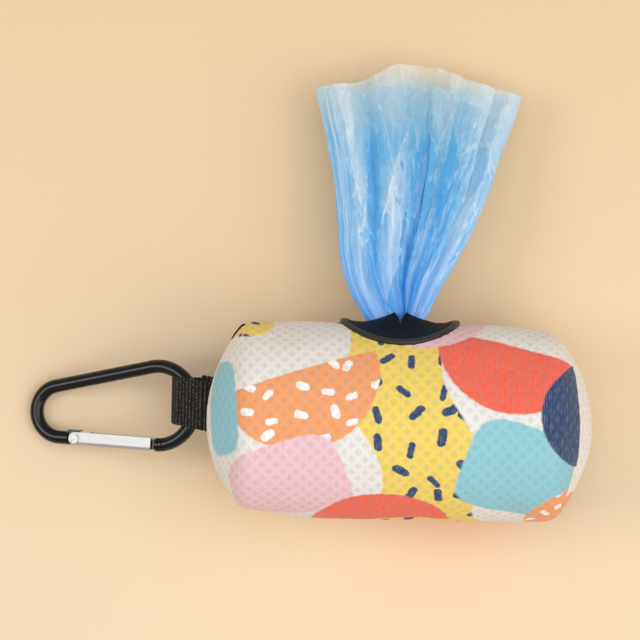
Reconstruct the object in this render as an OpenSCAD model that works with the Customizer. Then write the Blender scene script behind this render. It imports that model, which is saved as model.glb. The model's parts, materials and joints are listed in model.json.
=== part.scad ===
// Zipped fabric bag dispenser: a round padded case with domed ends, a rubber mouth that a rolled
// bag is pulled through, a zip along its underside, and a small carabiner in a webbing loop.
// The case lies on its back. X runs along the case, Y points out of the mouth, Z up.
// The origin is the middle of the flat strip that the case rests on.

/* [Case] */
// Length of the case over its domed ends
case_l = 94.6; // [86:0.2:116]
// Diameter of the case
case_d = 48.6; // [46:0.2:58]
// Radius of the dome that closes each end
end_r = 36; // [32:0.5:44]
// Rounding between the dome and the round wall
end_corner_r = 5.5; // [4:0.5:7]
// How far the soft case flattens where it rests
rest_flat = 0.8; // [0.4:0.1:1.2]
// Thickness of the printed mesh with its foam
panel_t = 2.2; // [1.6:0.1:2.8]
// Thickness of the lining
lining_t = 0.4; // [0.3:0.1:0.6]
// Depth of the bound seam allowances inside
seam_depth = 4.5; // [3:0.5:5]

/* [Mouth] */
// Outer diameter of the rubber rim
rim_d = 29.6; // [27:0.2:30]
// Width of the rim's bead
rim_w = 2.1; // [1.6:0.1:2.4]
// Height of the bead over the fabric
rim_h = 1.5; // [1:0.1:2]
// Angle of the mouth above the horizontal
mouth_tilt = 4; // [0:1:6]
// Thickness of the rubber membrane
membrane_t = 1.2; // [1:0.1:1.4]
// Height of the pulled-out lips over the fabric
lip_h = 2.3; // [1.5:0.1:3]
// Width of the cuts between the lips
slit_w = 0.5; // [0.3:0.1:0.8]

/* [Zip] */
// Distance round the case from the mouth's rim to the middle of the zip
zip_drop = 8.3; // [8:0.1:10]
// Length of the opening between the fabric edges
zip_l = 74; // [60:1:74]
// Width of the opening between the fabric edges
zip_w = 9.8; // [9.4:0.1:10.4]
// Spacing of the teeth along one row
tooth_pitch = 2.5; // [2.4:0.1:3]
// Length of the pull tab
puller_l = 18; // [12:1:24]

/* [Strap] */
// Width of the webbing
strap_w = 11; // [9:0.5:12]
// Thickness of the webbing
strap_t = 1; // [0.8:0.1:1.3]
// How far the strap sits beside the middle of the end
strap_y = 3.2; // [0:0.2:5]
// Distance from the seam to the middle of the fold round the carabiner
strap_reach = 7.6; // [7.4:0.2:14]

/* [Carabiner] */
// Thickness of the bent rod
rod_d = 3.4; // [2.8:0.1:3.6]
// Radius of the wide bend at the strap
wide_r = 9.8; // [9:0.1:12]
// Radius of the narrow bend at the far end
narrow_r = 6.5; // [6:0.1:8]
// Distance between the centres of the two bends
bend_gap = 27; // [24:0.5:34]
// Slope of the carabiner as it lies on its far end
rod_slope = 21; // [16:1:24]

/* [Bags] */
// Width of the folded bags on the roll
roll_l = 57; // [50:1:60]
// Diameter of the roll
roll_d = 26; // [20:0.5:28]
// Bore of the cardboard core
core_bore = 12.4; // [10:0.2:14]
// Length of bag outside the mouth
bag_l = 64; // [50:1:70]
// Width of the bag at its open end
bag_w = 49; // [36:1:56]
// How far the open end fans out to one side
bag_shift = 4; // [0:0.5:8]
// How far the bag can be pulled out
bag_travel = 34; // [20:1:35]

/* [Hidden] */
$fn = 96;

// Clearances
glue = 0.1;         // between layers that are sewn or glued together
seam_gap = 0.1;     // between panels that meet at a seam
run = 0.05;         // radial play of a pin in its hole
step = 0.02;        // how much thinner a straight stretch is than the bend that it runs into
loose = 0.3;        // between pieces that pass each other
big = 400;          // larger than the whole object

// Case
case_r = case_d / 2;
axis_z = case_r - rest_flat;
lining_in = panel_t + glue;
case_in = lining_in + lining_t;
dome_y = case_l / 2 - end_r;
corner_x = case_r - end_corner_r;
corner_y = dome_y + sqrt(pow(end_r - end_corner_r, 2) - pow(corner_x, 2));
dome_reach = norm([corner_x, corner_y - dome_y]);
binding_t = 2.4;
binding_start = corner_y - 2;

// Mouth
rim_r = rim_d / 2;
neck_r = rim_r - rim_w;
membrane_r = neck_r - 1;
neck_hole_r = neck_r + glue;
backing_r = rim_r - 1;
backing_t = 1;
lip_r = 9;
lip_tip_r = 1.5;
lip_base = sqrt(pow(case_r, 2) - pow(lip_r, 2)) - membrane_t;   // where the saddle is lowest at the lips
strand_d = 2.4;
mouth_hole_r = strand_d / 2 + loose;

// Zip, in its own frame: X along the chain, Y across it, Z out of the case
tape_t = 0.6;
tape_edge = 1.5;
tape_w = 7.6;
tape_in = panel_t + glue;
tape_reach = corner_y + 6;
backing_in_r = case_r - tape_in - tape_t - glue - backing_t;
chain_r = case_r - tape_in - tape_t / 2;
zip_angle = asin(rim_r / case_r) - mouth_tilt + zip_drop / case_r * 180 / PI;   // below the horizontal
tooth_t = 2;
tooth_w = 2.6;
head_r = 0.55;
head_y = 0.3;
tooth_n = floor((zip_l - 8) / tooth_pitch);
chain_l = tooth_n * tooth_pitch;
slider_l = 10;
slider_w = 8.2;
slider_wall = 0.55;
slider_h = tooth_t + 2 * 0.25 + 2 * slider_wall;
slider_x = zip_l / 2 - slider_l / 2 - 0.6;
bar_r = 0.55;
bar_z = slider_h / 2 + 1.5;
eye_r = 1.2;
puller_w = 5;
puller_t = 1.1;

// Carabiner, in its own plane: X from the narrow bend to the wide one, Z out of the plane
rod_r = rod_d / 2;
half_angle = asin((wide_r - narrow_r) / bend_gap);
side_l = bend_gap * cos(half_angle);
rod_yaw = 4.7;
bend_half = strap_w / 2 + (wide_r - rod_r) * sin(rod_yaw);               // the strap's farther edge from the bend's middle
bend_sag = wide_r - sqrt(pow(wide_r - rod_r, 2) - pow(bend_half, 2));    // the bend's depth in the strap
fold_x = wide_r - (bend_sag - rod_r) / 2;       // the strap's fold goes round this point of the bend
reach_l = (fold_x + bend_gap) * cos(rod_yaw) + narrow_r;
loop_z = rod_r + reach_l * sin(rod_slope);
pivot_s = 5.1;                          // places along the gate's side, from the narrow bend
gate_start = pivot_s - rod_r;
gate_end = side_l - 0.9;
gate_w = rod_d;
gate_wall = 0.5;
rod_end = gate_start - 0.35;
tongue_t = gate_w - 2 * gate_wall - 0.5;
tongue_r = rod_r - gate_wall - 0.1;
knob_v = rod_r + 0.45;
rivet_r = 0.6;
plunger_l = 2.6;
gate_open = 25;
plunger_push = tongue_r * (cos(gate_open) - 1) + knob_v * sin(gate_open);   // how far the knob pushes it
spring_r = 0.85;
spring_wire = 0.26;
spring_n = 9;
spring_pitch = 0.8;
spring_s = pivot_s + tongue_r + 0.1 + plunger_l + plunger_push + 0.1;
gate_stop_s = spring_s + spring_n * spring_pitch + spring_wire / 2 + 0.1;
nose_l = 2.2;
nose_t = tongue_t;
bend_lap = 0.3;                         // how far a straight stretch reaches into a bend
groove_places = [6, 12];
groove_w = 0.35;
groove_depth = 0.25;

// Strap: the loop hangs from the seam at the dome's tip and holds the wide bend
root_r = strap_t + 0.1;
hinge_x = -case_l / 2 - root_r - glue;
strap_drop = asin((axis_z - loop_z) / strap_reach);
loop_x = hinge_x - strap_reach * cos(strap_drop);
loop_in = (bend_sag + rod_r) / 2 + loose;
loop_out = loop_in + strap_t;
tail_x = hinge_x + root_r + glue;
tail_l = 5.5;

// Bags
core_wall = 0.9;
core_r = core_bore / 2 + core_wall;
core_l = roll_l + 1.6;
roll_r = roll_d / 2;
roll_z = case_in + loose + roll_r;
exit_r = case_r + 0.5;
exit_y = exit_r * cos(mouth_tilt);
exit_z = axis_z + exit_r * sin(mouth_tilt);
strand_gap = roll_r + strand_d / 2 + loose;
pull_angle = asin(strand_gap / norm([exit_y, exit_z - roll_z])) - atan2(exit_z - roll_z, exit_y);
strand_in = bag_travel + 2.6;
bag_t = 2.4;
neck_w = 5;
shoulder_w = 30;
shoulder_l = 17;
crown_l = 5;

// Frames
module on_axis() {
    translate([0, 0, axis_z]) children();
}

module along_x() {
    rotate([90, 0, 90]) children();
}

module above_seam(from = seam_gap / 2) {
    translate([-big / 2, -big / 2, from]) cube([big, big, big]);
}

module below_seam() {
    translate([-big / 2, -big / 2, -big - seam_gap / 2]) cube([big, big, big]);
}

module at_mouth() {
    on_axis() rotate([mouth_tilt - 90, 0, 0]) children();
}

module at_zip() {
    on_axis() rotate([-zip_angle - 90, 0, 0]) mirror([0, 1, 0]) children();
}

module at_slider() {
    at_zip() translate([slider_x, 0, chain_r]) children();
}

module at_loop() {
    translate([loop_x, strap_y, loop_z]) children();
}

module carabiner_plane() {
    at_loop() rotate([0, -rod_slope, 0]) rotate([0, 0, rod_yaw]) translate([-fold_x, 0, 0]) children();
}

module gate_side() {
    carabiner_plane() translate([-bend_gap, 0, 0])
        translate([-narrow_r * sin(half_angle), -narrow_r * cos(half_angle), 0])
        rotate([0, 0, -half_angle]) children();
}

module pull_line() {
    translate([0, exit_y, exit_z]) rotate([-90 - pull_angle, 0, 0]) children();
}

// Case
// One half of the outline that is revolved. Deeper than the corner's rounding, the corner is sharp
module half_outline(inset) {
    difference() {
        if (inset < end_corner_r) {
            translate([0, -0.01]) square([case_r - inset, corner_y + 0.01]);
            translate([corner_x, corner_y]) circle(end_corner_r - inset);
            intersection() {
                translate([0, dome_y]) circle(end_r - inset);
                polygon([
                    [0, dome_y], [0, dome_y + 2 * end_r],
                    [2 * end_r * corner_x / dome_reach,
                     dome_y + 2 * end_r * (corner_y - dome_y) / dome_reach]
                ]);
            }
        } else {
            intersection() {
                translate([0, -0.01]) square([case_r - inset, case_l]);
                translate([0, dome_y]) circle(end_r - inset);
            }
        }
        translate([-big, -big]) square([big, 2 * big]);
    }
}

module case_form(inset) {
    intersection() {
        on_axis() along_x() rotate_extrude() {
            half_outline(inset);
            mirror([0, 1]) half_outline(inset);
        }
        translate([-big / 2, -big / 2, inset]) cube([big, big, big]);
    }
}

module case_layer(outside, inside) {
    difference() {
        case_form(outside);
        case_form(inside);
    }
}

module mouth_cut(r) {
    at_mouth() cylinder(h = big, r = r);
}

// The strip beside the zip that belongs to the front panel, from the zip's edge up to the mouth
module front_flap(edge, grow = 0) {
    at_zip() translate([-zip_l / 2 - grow, edge - grow, 0])
        cube([zip_l + 2 * grow, big, big]);
}

module front_side(edge) {
    on_axis() above_seam();
    intersection() {
        front_flap(edge);
        translate([0, 0, axis_z - big / 2 + 1]) cube([big, big, big], center = true);
        translate([-big / 2, 0, -big / 2]) cube([big, big, big]);
    }
}

module rear_side(edge) {
    difference() {
        on_axis() below_seam();
        intersection() {
            front_flap(-edge, seam_gap);
            translate([-big / 2, 0, -big / 2]) cube([big, big, big]);
        }
    }
}

module strap_slot() {
    translate([tail_x - tail_l, strap_y - strap_w / 2 - glue, axis_z - strap_t - glue])
        cube([3 * tail_l, strap_w + 2 * glue, 2 * (strap_t + glue)]);
}

module panel_cuts() {
    mouth_cut(neck_hole_r);
    strap_slot();
}

module front_panel() {
    color("#F3EFE8") difference() {
        intersection() {
            case_layer(0, panel_t);
            front_side(zip_w / 2);
        }
        panel_cuts();
    }
}

module rear_panel() {
    color("#8CCEDA") difference() {
        intersection() {
            case_layer(0, panel_t);
            rear_side(zip_w / 2);
        }
        panel_cuts();
    }
}

module lining_cuts() {
    panel_cuts();
    at_zip() translate([-tape_reach - glue, -tape_w - glue, 0])
        cube([2 * (tape_reach + glue), 2 * (tape_w + glue), big]);
}

module front_lining() {
    color("#D9D6CE") difference() {
        intersection() {
            case_layer(lining_in, case_in);
            front_side(tape_w + glue);
        }
        lining_cuts();
    }
}

module rear_lining() {
    color("#D9D6CE") difference() {
        intersection() {
            case_layer(lining_in, case_in);
            rear_side(tape_w + glue);
        }
        lining_cuts();
    }
}

// The bound seam allowances stand up inside the case, all the way round in the seam's plane
module seam_binding_ring() {
    intersection() {
        case_layer(case_in + glue, case_in + glue + seam_depth);
        on_axis() cube([big, big, binding_t], center = true);
    }
}

module right_end_space() {
    translate([binding_start, -big / 2, 0]) cube(big);
}

module left_seam_binding() {
    color("#2B2B2E") difference() {
        intersection() {
            seam_binding_ring();
            mirror([1, 0, 0]) right_end_space();
        }
        translate([tail_x - tail_l, strap_y - strap_w / 2 - loose, 0])
            cube([2 * tail_l + glue, strap_w + 2 * loose, big]);
    }
}

module right_seam_binding() {
    color("#2B2B2E") intersection() {
        seam_binding_ring();
        right_end_space();
    }
}

module lower_seam_binding() {
    color("#2B2B2E") intersection() {
        seam_binding_ring();
        translate([glue - binding_start, -big, 0]) cube([2 * (binding_start - glue), big, big]);
    }
}

// Mouth
module wall_between(inner, outer) {
    on_axis() along_x() difference() {
        cylinder(h = 3 * rim_r, r = outer, center = true);
        cylinder(h = 4 * rim_r, r = inner, center = true);
    }
}

module mouth_tube(inner, outer) {
    at_mouth() difference() {
        cylinder(h = case_d, r = outer);
        translate([0, 0, -1]) cylinder(h = case_d + 2, r = inner);
    }
}

module mouth_rim() {
    color("#33302F") union() {
        intersection() {
            mouth_tube(membrane_r, rim_r);
            wall_between(case_r + glue, case_r + rim_h);
        }
        intersection() {
            mouth_tube(membrane_r, neck_r);
            wall_between(case_r - case_in - glue, case_r + rim_h / 2);
        }
    }
}

// A saddle that follows the round wall, and four lips that the pull has drawn out into a cone
module mouth_membrane() {
    color("#141A22") difference() {
        union() {
            intersection() {
                mouth_tube(lip_r - membrane_t / 2, membrane_r - glue / 2);
                wall_between(case_r - membrane_t, case_r);
            }
            at_mouth() rotate_extrude() polygon([
                [lip_r - membrane_t, lip_base], [lip_r, lip_base], [lip_r, case_r + membrane_t / 2],
                [lip_tip_r, case_r + lip_h], [0, case_r + lip_h],
                [0, case_r + lip_h - membrane_t], [lip_r - membrane_t, case_r - membrane_t / 2]
            ]);
        }
        at_mouth() for (turn = [0, 90]) {
            rotate([0, 0, turn]) translate([-lip_r + membrane_t, -slit_w / 2, 0])
                cube([2 * (lip_r - membrane_t), slit_w, case_d]);
        }
        pull_line() cylinder(h = case_r, r = mouth_hole_r, center = true);
    }
}

module mouth_backing_ring() {
    color("#33302F") intersection() {
        mouth_tube(membrane_r, backing_r);
        wall_between(backing_in_r, backing_in_r + backing_t);
    }
}

// Zip
module tape(side) {
    color("#1A1A1C") difference() {
        intersection() {
            case_layer(tape_in, tape_in + tape_t);
            at_zip() translate([-tape_reach, side > 0 ? tape_edge : -tape_w, 0])
                cube([2 * tape_reach, tape_w - tape_edge, big]);
        }
        mouth_cut(neck_hole_r);
    }
}

module zip_tape_upper() {
    tape(1);
}

module zip_tape_lower() {
    tape(-1);
}

module tooth() {
    difference() {
        linear_extrude(tooth_t, center = true) {
            translate([-0.95, 1]) square([1.9, tooth_w - 1]);
            translate([-0.4, -head_y]) square([0.8, 1.4 + head_y]);
            translate([0, -head_y]) circle(head_r);
        }
        translate([-2, tape_edge - 0.1, -tape_t / 2 - 0.25]) cube([4, 3, tape_t + 0.3]);
    }
}

module teeth(side) {
    color("#1A1A1C") at_zip() translate([0, 0, chain_r])
        for (i = [0 : tooth_n - 1]) {
            translate([(i + 0.5 + side / 4) * tooth_pitch - chain_l / 2, 0, 0])
                mirror([0, side > 0 ? 0 : 1, 0]) tooth();
        }
}

module zip_teeth_upper() {
    teeth(1);
}

module zip_teeth_lower() {
    teeth(-1);
}

module zip_stops() {
    color("#1A1A1C") at_zip() translate([0, 0, chain_r])
        for (end = [-1, 1]) {
            translate([end * (chain_l / 2 + tooth_pitch / 4 + 0.8), 0, 0]) difference() {
                cube([1, 2 * tooth_w, tooth_t], center = true);
                for (side = [0, 1]) {
                    mirror([0, side, 0]) translate([-1, tape_edge - 0.1, -tape_t / 2 - 0.25])
                        cube([2, 3, tape_t + 0.3]);
                }
            }
        }
}

module slider_plan() {
    intersection() {
        square([slider_l, slider_w], center = true);
        union() {
            translate([slider_l / 2 - slider_w / 2, 0]) circle(slider_w / 2);
            polygon([
                [slider_l / 2 - slider_w / 2, slider_w / 2], [-slider_l / 2, slider_w / 2 - 0.6],
                [-slider_l / 2, -slider_w / 2 + 0.6], [slider_l / 2 - slider_w / 2, -slider_w / 2]
            ]);
        }
    }
}

module zip_slider() {
    channel_h = slider_h - 2 * slider_wall;
    color("#2A2A2C") at_slider() {
        difference() {
            linear_extrude(slider_h, center = true) slider_plan();
            cube([2 * slider_l, 2 * tooth_w + 0.5, channel_h], center = true);
            translate([0, 0, -tape_t / 2]) cube([2 * slider_l, 2 * slider_w, tape_t + 0.8], center = true);
        }
        for (side = [-1, 1]) {
            translate([0, side * (eye_r + 0.55), slider_h / 2 - 0.01])
                rotate([90, 0, 0]) linear_extrude(0.8, center = true) {
                    translate([-1.1, 0]) square([2.2, bar_z - slider_h / 2]);
                    translate([0, bar_z - slider_h / 2]) circle(1.1);
                }
        }
        translate([0, 0, bar_z]) rotate([90, 0, 0])
            cylinder(h = 2 * eye_r + 1.2, r = bar_r, center = true);
    }
}

module zip_puller() {
    color("#2A2A2C") at_slider() translate([0, 0, bar_z]) difference() {
        union() {
            rotate([90, 0, 0]) cylinder(h = 2 * eye_r, r = eye_r, center = true);
            linear_extrude(puller_t, center = true) {
                translate([-4, -eye_r]) square([4, 2 * eye_r]);
                translate([-puller_l + puller_w / 2, -puller_w / 2])
                    square([puller_l - 3 - puller_w / 2, puller_w]);
                translate([-puller_l + puller_w / 2, 0]) circle(puller_w / 2);
            }
        }
        rotate([90, 0, 0]) cylinder(h = 3 * eye_r, r = bar_r + run, center = true);
        translate([-puller_l + puller_w / 2 + 0.6, 0, 0]) cylinder(h = 5, r = 1.4, center = true);
    }
}

// Strap
module strap_tail() {
    color("#1C1C1E") translate([tail_x, strap_y, axis_z])
        translate([0, -strap_w / 2, -strap_t]) cube([tail_l, strap_w, 2 * strap_t]);
}

// The loop is drawn as two ends of a belt: the fold round the carabiner, and the root at the seam
module loop_form(width, r, root) {
    lean = asin((r - root) / strap_reach);
    near = r - step;
    far = root - step;
    cylinder(h = width, r = r, center = true);
    translate([strap_reach, 0, 0]) cylinder(h = width, r = root, center = true);
    linear_extrude(width, center = true) polygon([
        [near * sin(lean), near * cos(lean)],
        [strap_reach + far * sin(lean), far * cos(lean)],
        [strap_reach + far * sin(lean), -far * cos(lean)],
        [near * sin(lean), -near * cos(lean)]
    ]);
}

module strap_loop() {
    color("#1C1C1E") at_loop() rotate([0, -strap_drop, 0]) rotate([90, 0, 0]) difference() {
        loop_form(strap_w, loop_out, root_r);
        intersection() {
            loop_form(strap_w + 1, loop_in, 0.1);
            translate([-big, -big, -big])
                cube([big + strap_reach - 2 * strap_t, 2 * big, 2 * big]);
        }
    }
}

// Carabiner
module bend(r, from, turn) {
    rotate([0, 0, from]) rotate_extrude(angle = turn) translate([r, 0]) circle(rod_r);
}

module side_rod(from, to) {
    translate([from, 0, 0]) rotate([0, 90, 0]) cylinder(h = to - from, r = rod_r - step);
}

// Two rings turned into the collar that the gate closes against
module nose_grooves() {
    for (at = groove_places) {
        rotate([0, 0, at - half_angle]) translate([0, -wide_r, 0]) rotate([0, 90, 0]) difference() {
            cylinder(h = groove_w, r = 2 * rod_r, center = true);
            cylinder(h = 2 * groove_w, r = rod_r - groove_depth, center = true);
        }
    }
}

// The gate's hinge: a flat tongue with a knob that shows inside the opening
module hinge_tongue() {
    difference() {
        linear_extrude(tongue_t, center = true) {
            translate([pivot_s, 0]) circle(tongue_r);
            translate([rod_end - bend_lap, -tongue_r])
                square([pivot_s - rod_end + bend_lap, tongue_r + knob_v]);
            translate([pivot_s, 0]) square([tongue_r, knob_v]);
        }
        translate([pivot_s, 0, 0]) cylinder(h = rod_d, r = rivet_r + run, center = true);
    }
}

module carabiner_frame() {
    color("#0E0E10") union() {
        carabiner_plane() {
            difference() {
                bend(wide_r, -90 - half_angle, 180 + 2 * half_angle);
                nose_grooves();
            }
            translate([-bend_gap, 0, 0]) bend(narrow_r, 90 + half_angle, 180 - 2 * half_angle);
            rotate([0, 0, half_angle]) translate([-side_l, wide_r, 0])
                side_rod(-bend_lap, side_l + bend_lap);
        }
        gate_side() {
            side_rod(-bend_lap, rod_end);
            hinge_tongue();
            translate([side_l - nose_l, -rod_r + 0.5, -nose_t / 2])
                cube([nose_l + bend_lap, rod_d - 1, nose_t]);
        }
    }
}

module carabiner_gate() {
    wall_cut = gate_w - 2 * gate_wall;
    color("#C9CACC") gate_side() difference() {
        union() {
            translate([pivot_s, -gate_w / 2, -gate_w / 2])
                cube([gate_end - pivot_s, gate_w, gate_w]);
            translate([pivot_s, 0, 0]) cylinder(h = gate_w, r = gate_w / 2, center = true);
        }
        translate([gate_start - 1, -gate_w / 2 + gate_wall, -wall_cut / 2])
            cube([gate_stop_s - gate_start + 1, gate_w, wall_cut]);
        translate([gate_stop_s + 1, -gate_w / 2 + gate_wall, -wall_cut / 2])
            cube([gate_end, gate_w, wall_cut]);
        translate([gate_end - nose_l - 0.2, -gate_w, -wall_cut / 2])
            cube([gate_end, 2 * gate_w, wall_cut]);
        translate([gate_start - 1, -gate_w, -wall_cut / 2])
            cube([pivot_s - gate_start + 1, 2 * gate_w, wall_cut]);
        translate([pivot_s, 0, 0]) cylinder(h = 2 * gate_w, r = rivet_r + 0.02, center = true);
    }
}

module gate_rivet() {
    head_h = 0.4;
    color("#D8D9DB") gate_side() translate([pivot_s, 0, 0]) {
        cylinder(h = gate_w + 2 * head_h, r = rivet_r, center = true);
        for (side = [-1, 1]) {
            translate([0, 0, side * (gate_w / 2 + head_h / 2 + 0.02)])
                cylinder(h = head_h, r = 2 * rivet_r, center = true);
        }
    }
}

module gate_plunger() {
    start = pivot_s + tongue_r + 0.1;
    color("#BFC0C2") gate_side() {
        translate([start, -rod_r + gate_wall + 0.2, -spring_r])
            cube([plunger_l, gate_w - gate_wall, 2 * spring_r]);
        translate([start + 1, 0, 0]) rotate([0, 90, 0])
            cylinder(h = plunger_l + 2, r = spring_r - spring_wire - 0.15);
    }
}

// The spring as one tube: rings of points along the coil, joined by triangles
function coil_point(t, a) =
    let (r = spring_r - spring_wire / 2 + cos(a) * spring_wire / 2)
    [spring_pitch * t + sin(a) * spring_wire / 2, r * cos(360 * t), r * sin(360 * t)];

module gate_spring() {
    rings = 8;
    sides = 6;
    last = spring_n * rings;
    points = [for (i = [0 : last]) for (j = [0 : sides - 1]) coil_point(i / rings, 360 * j / sides)];
    walls = [
        for (i = [0 : last - 1]) for (j = [0 : sides - 1])
            let (a = i * sides + j, b = i * sides + (j + 1) % sides)
            each [[a, a + sides, b], [b, a + sides, b + sides]]
    ];
    ends = [
        for (j = [1 : sides - 2])
            each [[0, j, j + 1], [last * sides, last * sides + j + 1, last * sides + j]]
    ];
    echo(least_gap_of_the_coils = spring_pitch - spring_wire);
    color("#9A9B9D") gate_side() translate([spring_s, 0, 0])
        polyhedron(points, concat(walls, ends));
}

// Bags
module roll_tube(length, outer, inner) {
    translate([0, 0, roll_z]) rotate([0, 90, 0]) difference() {
        cylinder(h = length, r = outer, center = true);
        cylinder(h = length + 2, r = inner, center = true);
    }
}

module roll_core() {
    color("#B79A72") roll_tube(core_l, core_r, core_bore / 2);
}

module bag_roll() {
    color("#6FB4EA") roll_tube(roll_l, roll_r, core_r + 0.02);
}

module bag_strand() {
    color("#4FA3E6") pull_line() translate([0, 0, -strand_in])
        cylinder(h = strand_in + lip_h + 1, r = strand_d / 2);
}

// The film is gathered in the mouth, widens quickly and then fans out to its open end
module pulled_bag() {
    neck = lip_h + 1 + glue;
    color("#8CC5F2") pull_line() rotate([90, 0, 0]) linear_extrude(bag_t, center = true) polygon([
        [-neck_w / 2, neck], [-shoulder_w / 2, neck + shoulder_l],
        [bag_shift - bag_w / 2, neck + bag_l - crown_l], [bag_shift - bag_w / 4, neck + bag_l - crown_l / 4],
        [bag_shift, neck + bag_l], [bag_shift + bag_w / 4, neck + bag_l - crown_l / 3],
        [bag_shift + bag_w / 2, neck + bag_l - 2 * crown_l],
        [shoulder_w / 2, neck + shoulder_l], [neck_w / 2, neck]
    ]);
}

front_panel();
rear_panel();
front_lining();
rear_lining();
left_seam_binding();
right_seam_binding();
lower_seam_binding();
mouth_rim();
mouth_membrane();
mouth_backing_ring();
zip_tape_upper();
zip_tape_lower();
zip_teeth_upper();
zip_teeth_lower();
zip_stops();
zip_slider();
zip_puller();
strap_tail();
strap_loop();
carabiner_frame();
carabiner_gate();
gate_rivet();
gate_plunger();
gate_spring();
roll_core();
bag_roll();
bag_strand();
pulled_bag();
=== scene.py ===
# %% [markdown]
# # A zipped fabric bag dispenser with a carabiner
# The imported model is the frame: it says where every piece is and which body it moves with. Nothing
# else is read. The drawing is done in millimetres and turned to metres when a piece is finished,
# because all the sizes of a small sewn thing are easy to think of in millimetres.

# %% Load the frame
import json
import math

import bmesh
import bpy
import numpy as np
from mathutils import Matrix, Vector, kdtree, noise


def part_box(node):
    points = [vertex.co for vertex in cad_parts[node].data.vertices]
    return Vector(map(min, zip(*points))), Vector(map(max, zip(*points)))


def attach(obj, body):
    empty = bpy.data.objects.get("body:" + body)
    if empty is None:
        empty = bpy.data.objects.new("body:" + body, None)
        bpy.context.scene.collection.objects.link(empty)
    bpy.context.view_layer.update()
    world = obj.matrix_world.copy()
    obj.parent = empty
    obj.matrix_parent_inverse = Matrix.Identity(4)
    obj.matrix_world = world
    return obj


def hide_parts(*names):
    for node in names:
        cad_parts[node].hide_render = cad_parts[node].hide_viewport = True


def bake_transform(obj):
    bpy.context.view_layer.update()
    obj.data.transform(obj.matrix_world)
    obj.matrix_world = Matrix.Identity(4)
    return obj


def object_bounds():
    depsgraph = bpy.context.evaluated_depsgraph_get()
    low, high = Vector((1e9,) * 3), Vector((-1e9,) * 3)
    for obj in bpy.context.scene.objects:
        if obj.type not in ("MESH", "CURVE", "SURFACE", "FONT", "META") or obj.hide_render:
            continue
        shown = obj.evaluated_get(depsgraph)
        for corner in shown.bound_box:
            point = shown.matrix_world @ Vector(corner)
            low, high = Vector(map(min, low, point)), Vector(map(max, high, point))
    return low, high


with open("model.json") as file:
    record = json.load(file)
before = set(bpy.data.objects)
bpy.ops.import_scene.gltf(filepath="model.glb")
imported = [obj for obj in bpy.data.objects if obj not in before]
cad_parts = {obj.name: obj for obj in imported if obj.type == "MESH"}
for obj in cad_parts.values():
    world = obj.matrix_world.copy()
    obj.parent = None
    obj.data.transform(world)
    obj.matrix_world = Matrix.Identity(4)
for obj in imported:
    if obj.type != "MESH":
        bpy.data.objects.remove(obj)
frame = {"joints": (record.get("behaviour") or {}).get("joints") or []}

MM = 0.001
scene = bpy.context.scene
CAD_BOX = [list(corner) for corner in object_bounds()]
joint_of = {joint["name"]: joint for joint in frame["joints"]}


def place(values):
    """A point of the record, in millimetres."""
    return Vector(values) / MM


def half_size(node):
    """Half the size of a solid of the frame along each axis, in millimetres."""
    low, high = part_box(node)
    return (high - low) / MM / 2


def share_of(value):
    """A value kept between 0 and 1."""
    return min(1.0, max(0.0, value))


print("CAD box in mm:", [[round(x / MM, 1) for x in corner] for corner in CAD_BOX])

# %% [markdown]
# The photograph looks straight down on the case. A long lens at nearly a metre keeps the round case
# from bulging, as a product photographer would do. The camera is turned a little, so the case lies
# one degree off the level, as it does in the photograph.

# %% Camera
LENS_HEIGHT = 900        # mm above the middle of the case
VIEW_CENTRE = (-19.75, 24.7)
VIEW_ROLL = math.radians(1.2)
VIEW_WIDTH = 158         # mm of the scene across the picture
SENSOR = 36

case_low = [min(a, b) for a, b in zip(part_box("front_panel")[0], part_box("rear_panel")[0])]
case_high = [max(a, b) for a, b in zip(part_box("front_panel")[1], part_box("rear_panel")[1])]
CASE_L = (case_high[0] - case_low[0]) / MM
CASE_R = (case_high[1] - case_low[1]) / MM / 2
AXIS_Z = case_high[2] / MM - CASE_R

camera = bpy.data.objects.new("camera", bpy.data.cameras.new("camera"))
scene.collection.objects.link(camera)
camera.data.sensor_width = SENSOR
camera.data.lens = SENSOR * LENS_HEIGHT / VIEW_WIDTH
camera.location = Vector((VIEW_CENTRE[0], VIEW_CENTRE[1], AXIS_Z + LENS_HEIGHT)) * MM
camera.rotation_euler = (0, 0, VIEW_ROLL)
scene.camera = camera
print(f"case {CASE_L:.1f} long, radius {CASE_R:.1f}, axis {AXIS_Z:.1f} up")

# %% [markdown]
# Every finish starts as a new material, which comes with the function that adds a node to it. The
# nodes' colours are sRGB hex codes, turned to the linear values that a shader wants.

# %% Colours and nodes
def linear(tone):
    """An sRGB hex colour, or a plain number for a grey, as linear red, green, blue and one."""
    if not isinstance(tone, str):
        return [tone] * 3 + [1.0]
    parts = [int(tone[i:i + 2], 16) / 255 for i in (1, 3, 5)]
    return [c / 12.92 if c <= 0.04045 else ((c + 0.055) / 1.055) ** 2.4 for c in parts] + [1.0]


def fill_ramp(ramp, stops):
    """Gives a new colour ramp its colours, from a table of places and tones."""
    for at, tone in stops.items():
        end = {0: 0, 1: -1}.get(at)
        (ramp.elements.new(at) if end is None else ramp.elements[end]).color = linear(tone)


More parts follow.
